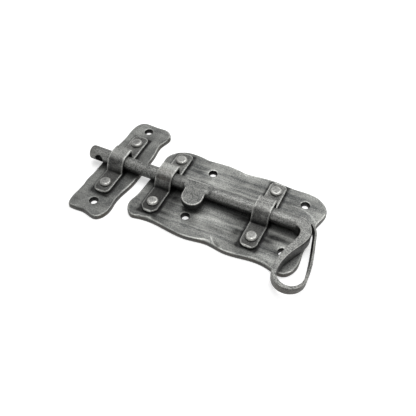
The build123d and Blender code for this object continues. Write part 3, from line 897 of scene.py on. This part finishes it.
# Rod and handle: the section carried along the middle line, drilled across near the tip
def rodAndHandle():
    s = boltShape
    low = boxOf("bolt")[0]
    axisZ = low[2] + s["radius"]
    line, rodCount = boltLine(low[0])
    travel = np.concatenate([[0], np.cumsum(np.linalg.norm(np.diff(line, axis=0), axis=1))])
    share, across, up = drawnSections(travel, rodCount)
    along = np.gradient(line, axis=0)
    along /= np.linalg.norm(along, axis=1)[:, None]
    side = np.stack([along[:, 1], -along[:, 0]], axis=1)
    # tip rounding: rings shrink along a quarter circle before the first full ring
    turn = np.radians([0, 22, 45, 68])
    rounding = (s["radius"] - s["tipRound"] + s["tipRound"] * np.sin(turn)) / s["radius"]
    tipShrink = np.concatenate([[0.35, 0.7], rounding])
    tipX = np.concatenate([[0, 0], s["tipRound"] * (1 - np.cos(turn))]) + low[0]
    tipShrink[0:2] *= tipShrink[2]
    tipAcross, tipUp = tipShrink[:, None] * across[0], tipShrink[:, None] * up[0]
    line = np.concatenate([np.stack([tipX, 0 * tipX], axis=1), line])
    side = np.concatenate([np.repeat(side[:1], len(tipX), axis=0), side])
    across, up = np.concatenate([tipAcross, across]), np.concatenate([tipUp, up])
    onRod = np.arange(len(line)) < rodCount + len(tipX)
    # the strip's end is cut off square, its edges a little rounded
    left = travel[-1] - np.concatenate([[0] * len(tipX), travel])[:, None]
    across, up = across * np.clip(0.55 + left / 1.2, 0, 1), up * np.clip(0.88 + left / 4, 0, 1)
    # the return strand leans outwards, its upper edge away from the leg
    leaning = np.concatenate([[0] * len(tipX), softStep(0.58, 0.76, share)])[:, None]
    lean = np.radians(s["strandLean"]) * leaning
    across, up = across * np.cos(lean) + up * np.sin(lean), up * np.cos(lean) - across * np.sin(lean)
    # flat on the crown beside the lug, running out at both ends
    beyond = np.clip(np.abs(line[:, 0] - s["lugX"]) - s["lugHalf"] + 1.0, 0, s["flatFade"] * 0.99)
    crown = s["radius"] - s["flatDrop"] - 0.04 + s["flatFade"] - np.sqrt(s["flatFade"] ** 2 - beyond ** 2)
    up = np.where(onRod[:, None], np.minimum(up, crown[:, None]), up)
    x = np.broadcast_to(line[:, :1], across.shape).copy()
    hole = np.array(mounts["padlock_hole"]["pos_m"]) / mm
    first = int(np.argmin(np.abs(line[:, 0] - hole[0] + s["holeSteps"] / 2 * s["step"])))
    x, y, up = openCrossHole(x, across, up, onRod, hole, first)
    x = x + side[:, :1] * y * ~onRod[:, None]
    points = np.stack([x, line[:, 1:] + side[:, 1:] * y, axisZ + up], axis=-1)
    body = points.reshape(-1, 3)
    index = np.arange(len(body)).reshape(points.shape[:2])
    # forging lumps, away from the hole
    middleLine = np.repeat(np.column_stack([line, np.full(len(line), axisZ)]), s["around"], axis=0)
    out = body - middleLine
    out /= np.maximum(np.linalg.norm(out, axis=1), 1e-6)[:, None]
    clear = softStep(4.5, 8.0, np.abs(body[:, 0] - hole[0]))
    lump = s["lumps"] * (0.6 * cloud(body, (9, 5, 5), 71) + 0.4 * cloud(body, 2.4, 72) - 1) * 0.5
    body = body + out * (lump * clear)[:, None]
    faces, tunnel, total = rodFaces(body, index, first)
    poles = np.array([(low[0], 0, axisZ), (*line[-1], axisZ)])
    for ring, pole in ((index[0], total), (index[-1][::-1], total + 1)):
        faces.append(np.stack([np.full(len(ring), pole), ring, np.roll(ring, -1)], axis=1)[:, ::-1])
    return np.concatenate([body, *tunnel, poles]), faces, axisZ, hole


# Height of the lug's front: flush with the flat on the crown, and sinking to the rod on the handle's side
class LugFront:
    def __init__(self, top, back):
        self.top, self.back = top, back

    def __call__(self, flat):
        s = boltShape
        space = np.column_stack([flat, np.zeros(len(flat))])
        sink = softStep(s["lugHalf"] - 2.0, s["lugHalf"] + s["lugFlare"], np.abs(flat[:, 0] - s["lugX"]))
        sink *= softStep(-8.0, -4.5, flat[:, 1]) * (flat[:, 0] > s["lugX"])
        return self.top - 1.3 * sink - 0.05 * (0.5 + 0.5 * cloud(space, 3.5, 81))


# Lug: a slab with a U-shaped outline, flared where it leaves the rod and wider there on the tip side
def lugSlab(axisZ):
    s = boltShape
    half, radius = s["lugHalf"], s["radius"]
    endY = half - s["lugReach"]
    sides = []
    for root, sign in ((s["lugFlare"], 1), (s["leftFlare"], -1)):
        flare, rootY = half + root, -radius - root
        side = np.concatenate([
            arcOf((0, endY), half, 270, 90, 40), np.linspace((half, endY), (half, rootY), 8)[1:],
            arcOf((flare, rootY), root, 180, -90, 12)[1:],
            np.linspace((flare, -radius), (flare, s["lugBack"]), 14)[1:],
            np.linspace((flare, s["lugBack"]), (0, s["lugBack"]), 20)[1:]])
        sides.append(side[:len(side) - (sign < 0)] * np.array([sign, 1]))
    outlinePoints = np.concatenate([sides[0], sides[1][1:]]) + np.array([s["lugX"], 0])
    beyondRod = np.clip(-outlinePoints[:, 1] - radius, 0, None)
    outlinePoints[:, 0] += s["lugLean"] * beyondRod / (s["lugReach"] - radius)
    low, high = outlinePoints.min(axis=0), outlinePoints.max(axis=0)
    middle = np.array([s["lugX"], s["lugMiddle"]])
    size = 2 * np.maximum(high - middle, middle - low)
    top = axisZ + radius - s["flatDrop"]
    front = LugFront(top, top - s["lugThick"])
    edge = lambda flat: np.full(len(flat), s["lugEdge"])
    outline = polarOf(outlinePoints, middle)
    return slab(outline, middle, size, s["lugCell"], [], front, edge, edge, s["lugPull"])[:2]


# Softening: points with weight move to the mean of their neighbours, a few rounds over
def soften(mesh, points, weight, rounds):
    edges = np.empty(2 * len(mesh.edges), np.int32)
    mesh.edges.foreach_get("vertices", edges)
    a, b = edges.reshape(-1, 2).T
    degree = np.bincount(np.concatenate([a, b]), minlength=len(points))[:, None]
    for _ in range(rounds):
        total = np.zeros_like(points)
        np.add.at(total, a, points[b])
        np.add.at(total, b, points[a])
        points = points + (total / degree - points) * weight[:, None]
    return points


# Finish of the bolt, from the place and the facing of each point
def boltFinish(place, facing, axisZ, hole):
    s, marks = boltShape, boltMarks
    x, y, z = place.T
    height = z - axisZ
    onRod = (x < s["legX"] - 8) & (y > -7)
    byLug = np.abs(x - s["lugX"]) < s["lugHalf"] + 3
    onLug = byLug & (y < -6.2)
    plain = onRod & ~byLug
    bay = softStep(*marks["bay"][0], x) * softStep(*marks["bay"][1], x)
    besideStrapShade = softStep(*marks["besideStrap"][0], x) * softStep(*marks["besideStrap"][1], x)
    # painted sheen on the rod's upper front and painted light on its crown and back; the handle's edges and
    # the lug's rim are worn bright and carry a painted highlight
    edge = softStep(0.35, 0.62, facing) * softStep(0.985, 0.88, facing)
    paintedSheen = 0.34 * softStep(0.2, 2.6, height) * softStep(5.0, 4.2, height) * softStep(0.5, -0.5, y)
    paintedSheen = paintedSheen * (1 - 0.8 * bay * softStep(3.4, 2.2, height))
    crown = 0.10 * softStep(3.5, 4.8, height) + 0.14 * softStep(0.5, 2.5, y) * (height > 0)
    crown += 0.06 * softStep(*marks["rubbedTip"], x) * (height > 2)
    wearAndHighlight = (paintedSheen + crown) * plain + (0.13 - 0.07 * softStep(*marks["farLoop"], y)) * ~onRod
    wearAndHighlight += 0.8 * edge * (height > 0.8) * ~onRod
    # a painted highlight along the back edge of the flat beside the lug
    crestY, crestWidth = marks["crest"]
    crest = np.exp(-((y - crestY) / crestWidth) ** 2) * softStep(3.4, 4.0, height)
    wearAndHighlight += 0.7 * crest * softStep(*marks["crestReach"], np.abs(x - s["lugX"] - 2)) * onRod
    lean = s["lugX"] + s["lugLean"] * np.clip(-y - s["radius"], 0, None) / (s["lugReach"] - s["radius"])
    endY = s["lugHalf"] - s["lugReach"]
    fromRim = s["lugHalf"] - np.where(y < endY, np.hypot(x - lean, y - endY), np.abs(x - lean))
    wearAndHighlight = np.where(onLug, 0.03 + 0.9 * softStep(1.1, 0.4, fromRim) * (height > marks["lugWall"]), wearAndHighlight)
    # painted shade under the rod, beside the tip strap, low on the rod in the bay, under the bend, in the
    # cross hole and on the walls of the lug and the handle
    sootAndShade = 0.75 * softStep(1.2, -2.6, height) * onRod + 0.66 * softStep(0.6, 0.25, facing) * ~onRod
    sootAndShade = np.maximum(sootAndShade, 1.0 * (onLug & (height < marks["lugWall"])))
    sootAndShade = sootAndShade + 0.38 * besideStrapShade * onRod * (height > -2)
    wallX, wallNear, wallFar = marks["legWall"]
    legWall = (x > wallX) & (y > wallNear) & (y < wallFar) & (facing < 0.5)
    sootAndShade = np.where(legWall, np.maximum(sootAndShade, 0.75 + 0.25 * softStep(*marks["legWallFade"], y)), sootAndShade)
    frontWall = softStep(*marks["loopFront"], y) * (facing < 0.5)
    sootAndShade = sootAndShade * (1 - 0.35 * frontWall)
    inHole = np.hypot(x - hole[0], height) < s["holeRadius"] + 0.05
    sootAndShade = np.maximum(sootAndShade, 0.9 * inHole)
    sootAndShade = sootAndShade + 0.4 * bay * onRod * softStep(2.6, 0.6, height) * (y < 0)
    # brown on the return strand, the tip, the front of the loop and one spot on the lug's flat
    strandX, strandY = marks["returnStrand"]
    rust = 0.35 * ((x > strandX) & (y < strandY)) * (0.5 + 0.5 * cloud(place, 6.0, 91))
    rust = np.maximum(rust + 0.3 * softStep(*marks["rustyTip"], x), 0.35 * frontWall)
    spotX, spotY, spotSize = marks["lugSpot"]
    rust = np.maximum(rust, 0.9 * np.exp(-((x - spotX) / spotSize) ** 2 - ((y - spotY) / spotSize) ** 2))
    # pitted in the bay, and a little along the rest of the rod
    pit = onRod * bay * softStep(0.8, 2.4, height)
    pit = np.maximum(pit, 0.25 * plain * softStep(0.5, 2.5, height))
    return {"wearAndHighlight": wearAndHighlight, "sootAndShade": sootAndShade, "rust": rust, "calm": 0 * wearAndHighlight, "pit": pit}


# Bolt: rod and handle welded to the lug
def forgeBolt():
    s = boltShape
    points, faces, axisZ, hole = rodAndHandle()
    rod = putMesh("bolt_forged", points, faces, {})
    lugPoints, lugFaces = lugSlab(axisZ)
    lug = putMesh("bolt_lug", lugPoints, lugFaces, {})
    union = rod.modifiers.new("weld", "BOOLEAN")
    union.operation, union.solver, union.object = "UNION", "EXACT", lug
    welded = bpy.data.meshes.new_from_object(rod.evaluated_get(bpy.context.evaluated_depsgraph_get()))
    rod.modifiers.clear()
    rod.data = welded
    bpy.data.objects.remove(lug)
    place = pointsOf(welded, "co") / mm
    x, y = place[:, 0], place[:, 1]
    # the corner between lug and rod is smoothed on the handle's side
    root = softStep(s["lugHalf"] + 5.5, s["lugHalf"] + 2.5, np.abs(x - s["lugX"])) * (x > s["lugX"])
    root *= softStep(-9.0, -7.0, y) * softStep(-1.6, -2.6, y)
    place = soften(welded, place, 0.6 * root, s["weldRounds"])
    welded.vertices.foreach_set("co", (place * mm).astype(np.float32).ravel())
    welded.update()
    finish = boltFinish(place, pointsOf(welded, "normal")[:, 2], axisZ, hole)
    finishMesh(welded, finish, 48)
    return dress(rod, boltSteel, "bolt", "bolt_steel", "bolt")


boltPiece = forgeBolt()
print("bolt forged:", len(boltPiece.data.polygons), "faces")


studio = {
    "azimuth": 25.84, "elevation": 49.17, "roll": -0.19, "distance": 409.6,
    "target": (-24.14, -9.0, 3.4), "lens": 51.92,
    "keyEnergy": 5.4, "keySize": 1.0, "keyAt": (0.0, 0.42, 0.87),
    "fillEnergy": 2.4, "fillSize": 0.6, "fillAt": (0.1, -0.1, 0.95),
    "worldGlow": 0.42, "floorColour": 0.85, "floorGlow": 0.42, "floorReach": 6.0,
}


# Camera on a sphere round the target, turned by azimuth and elevation
def makeCamera():
    a, e, roll = (math.radians(studio[key]) for key in ("azimuth", "elevation", "roll"))
    back = Vector((math.sin(a) * math.cos(e), -math.cos(a) * math.cos(e), math.sin(e)))
    right = Vector((math.cos(a), math.sin(a), 0))
    up = back.cross(right)
    right, up = right * math.cos(roll) + up * math.sin(roll), up * math.cos(roll) - right * math.sin(roll)
    lens = bpy.data.cameras.new("camera")
    lens.lens, lens.sensor_width, lens.sensor_fit = studio["lens"], 36.0, "HORIZONTAL"
    lens.clip_start, lens.clip_end = 0.01, 20
    camera = bpy.data.objects.new("camera", lens)
    camera.matrix_world = Matrix((right, up, back)).transposed().to_4x4()
    camera.location = (Vector(studio["target"]) + back * studio["distance"]) * mm
    bpy.context.scene.collection.objects.link(camera)
    bpy.context.scene.camera = camera


def softLamp(name, at, energy, size):
    lamp = bpy.data.lights.new(name, "AREA")
    lamp.energy, lamp.size, lamp.shape = energy, size, "DISK"
    holder = bpy.data.objects.new(name, lamp)
    holder.location = at
    holder.rotation_euler = (Vector((0, 0, 0)) - Vector(at)).to_track_quat("-Z", "Y").to_euler()
    bpy.context.scene.collection.objects.link(holder)


# White floor: plain diffuse for light, with a white glow added where the camera or a reflection sees it
def makeFloor():
    mesh = bpy.data.meshes.new("floor")
    reach = studio["floorReach"]
    corners = [(-reach, -reach, 0), (reach, -reach, 0), (reach, reach, 0), (-reach, reach, 0)]
    mesh.from_pydata(corners, [], [(0, 1, 2, 3)])
    floor = bpy.data.objects.new("floor", mesh)
    bpy.context.scene.collection.objects.link(floor)
    material = bpy.data.materials.new("floor_white")
    material.use_nodes = True
    nodes, link = material.node_tree.nodes, material.node_tree.links.new
    nodes.clear()
    diffuse = nodes.new("ShaderNodeBsdfDiffuse")
    diffuse.inputs["Color"].default_value = (*[studio["floorColour"]] * 3, 1)
    glow = nodes.new("ShaderNodeEmission")
    rays = nodes.new("ShaderNodeLightPath")
    seen = nodes.new("ShaderNodeMath")
    seen.operation, seen.use_clamp = "ADD", True
    link(rays.outputs["Is Camera Ray"], seen.inputs[0])
    mirrored = nodes.new("ShaderNodeMath")
    mirrored.operation = "MAXIMUM"
    link(rays.outputs["Is Glossy Ray"], mirrored.inputs[0])
    link(rays.outputs["Is Transmission Ray"], mirrored.inputs[1])
    link(mirrored.outputs[0], seen.inputs[1])
    level = nodes.new("ShaderNodeMath")
    level.operation = "MULTIPLY"
    level.inputs[1].default_value = studio["floorGlow"]
    link(seen.outputs[0], level.inputs[0])
    link(level.outputs[0], glow.inputs["Strength"])
    both = nodes.new("ShaderNodeAddShader")
    link(diffuse.outputs[0], both.inputs[0])
    link(glow.outputs[0], both.inputs[1])
    link(both.outputs[0], nodes.new("ShaderNodeOutputMaterial").inputs["Surface"])
    mesh.materials.append(material)


# World: one plain even glow
def makeWorld():
    world = bpy.data.worlds.new("studio")
    bpy.context.scene.world = world
    world.use_nodes = True
    background = world.node_tree.nodes["Background"]
    background.inputs["Color"].default_value = (1, 1, 1, 1)
    background.inputs["Strength"].default_value = studio["worldGlow"]


makeCamera()
softLamp("key", studio["keyAt"], studio["keyEnergy"], studio["keySize"])
softLamp("fill", studio["fillAt"], studio["fillEnergy"], studio["fillSize"])
makeFloor()
makeWorld()
bpy.context.scene.view_settings.view_transform = "Standard"
print("studio set")
